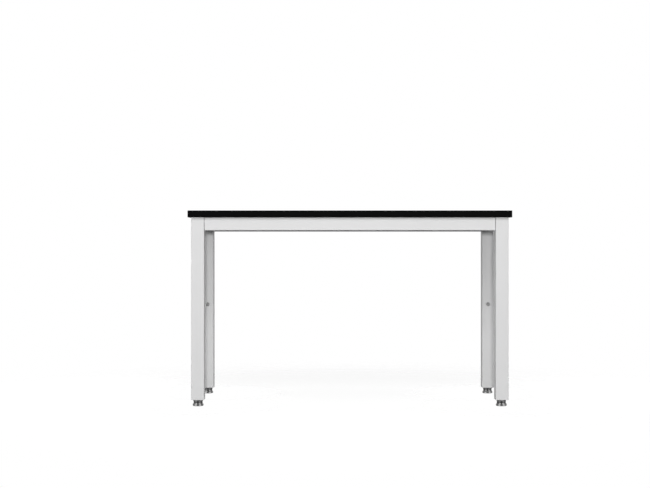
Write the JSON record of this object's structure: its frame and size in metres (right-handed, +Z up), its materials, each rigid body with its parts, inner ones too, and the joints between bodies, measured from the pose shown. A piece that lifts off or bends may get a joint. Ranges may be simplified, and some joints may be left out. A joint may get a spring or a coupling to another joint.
{
  "type": "laboratory bench",
  "caption": "Free-standing laboratory bench: thick black worktop on a square-tube steel frame with screw-adjustable levelling feet.",
  "frame": {"origin": "on the floor, under the middle of the worktop", "axes": "+X along the bench to its right end, +Y to the back, +Z up; the front faces -Y"},
  "size_m": [1.5, 0.6, 0.907],
  "materials": {
    "resin_top": "fine matte black laboratory resin",
    "powder_coat": "light grey powder coat, satin, fine orange peel",
    "zinc_steel": "bright zinc plate",
    "plated_foot": "turned steel, nickel plate",
    "stainless_steel": "stainless steel, satin",
    "brass": "turned brass",
    "foot_rubber": "matte black rubber"
  },
  "bodies": {
    "bench": {"worktop": "resin_top", "front_apron": "powder_coat", "rear_apron": "powder_coat", "left_apron": "powder_coat", "right_apron": "powder_coat", "leg_caps": "powder_coat", "apron_brackets": "powder_coat", "worktop_lugs": "powder_coat", "frame_bolts": "zinc_steel", "frame_washers": "zinc_steel", "frame_rivet_nuts": "zinc_steel", "rail_rivet_nuts": "zinc_steel", "worktop_screws": "zinc_steel", "worktop_washers": "zinc_steel", "worktop_inserts": "brass", "rail_screws": "stainless_steel", "rail_washers": "stainless_steel", "leg_front_left": "powder_coat", "end_plate_front_left": "powder_coat", "thread_bush_front_left": "plated_foot", "leg_front_right": "powder_coat", "end_plate_front_right": "powder_coat", "thread_bush_front_right": "plated_foot", "leg_rear_left": "powder_coat", "end_plate_rear_left": "powder_coat", "thread_bush_rear_left": "plated_foot", "leg_rear_right": "powder_coat", "end_plate_rear_right": "powder_coat", "thread_bush_rear_right": "plated_foot"},
    "foot_front_left": {"foot_base_front_left": "plated_foot", "foot_pad_front_left": "foot_rubber"},
    "stud_front_left": {"foot_stud_front_left": "zinc_steel"},
    "foot_front_right": {"foot_base_front_right": "plated_foot", "foot_pad_front_right": "foot_rubber"},
    "stud_front_right": {"foot_stud_front_right": "zinc_steel"},
    "foot_rear_left": {"foot_base_rear_left": "plated_foot", "foot_pad_rear_left": "foot_rubber"},
    "stud_rear_left": {"foot_stud_rear_left": "zinc_steel"},
    "foot_rear_right": {"foot_base_rear_right": "plated_foot", "foot_pad_rear_right": "foot_rubber"},
    "stud_rear_right": {"foot_stud_rear_right": "zinc_steel"}
  },
  "joints": [
    {"name": "foot_lift_front_left", "type": "slide", "parent": "bench", "child": "foot_front_left", "axis": [0, 0, -1], "range_m": [0, 0.0245]},
    {"name": "foot_turn_front_left", "type": "hinge", "parent": "foot_front_left", "child": "stud_front_left", "pos_m": [-0.705, -0.255, 0.03], "axis": [0, 0, -1], "range_deg": [0, 5040]},
    {"name": "foot_lift_front_right", "type": "slide", "parent": "bench", "child": "foot_front_right", "axis": [0, 0, -1], "range_m": [0, 0.0245]},
    {"name": "foot_turn_front_right", "type": "hinge", "parent": "foot_front_right", "child": "stud_front_right", "pos_m": [0.705, -0.255, 0.03], "axis": [0, 0, -1], "range_deg": [0, 5040]},
    {"name": "foot_lift_rear_left", "type": "slide", "parent": "bench", "child": "foot_rear_left", "axis": [0, 0, -1], "range_m": [0, 0.0245]},
    {"name": "foot_turn_rear_left", "type": "hinge", "parent": "foot_rear_left", "child": "stud_rear_left", "pos_m": [-0.705, 0.255, 0.03], "axis": [0, 0, -1], "range_deg": [0, 5040]},
    {"name": "foot_lift_rear_right", "type": "slide", "parent": "bench", "child": "foot_rear_right", "axis": [0, 0, -1], "range_m": [0, 0.0245]},
    {"name": "foot_turn_rear_right", "type": "hinge", "parent": "foot_rear_right", "child": "stud_rear_right", "pos_m": [0.705, 0.255, 0.03], "axis": [0, 0, -1], "range_deg": [0, 5040]}
  ],
  "couplings": [
    {"joint": "foot_lift_front_left", "follows": "foot_turn_front_left", "m_per_rad": 0.00027852},
    {"joint": "foot_lift_front_right", "follows": "foot_turn_front_right", "m_per_rad": 0.00027852},
    {"joint": "foot_lift_rear_left", "follows": "foot_turn_rear_left", "m_per_rad": 0.00027852},
    {"joint": "foot_lift_rear_right", "follows": "foot_turn_rear_right", "m_per_rad": 0.00027852}
  ]
}
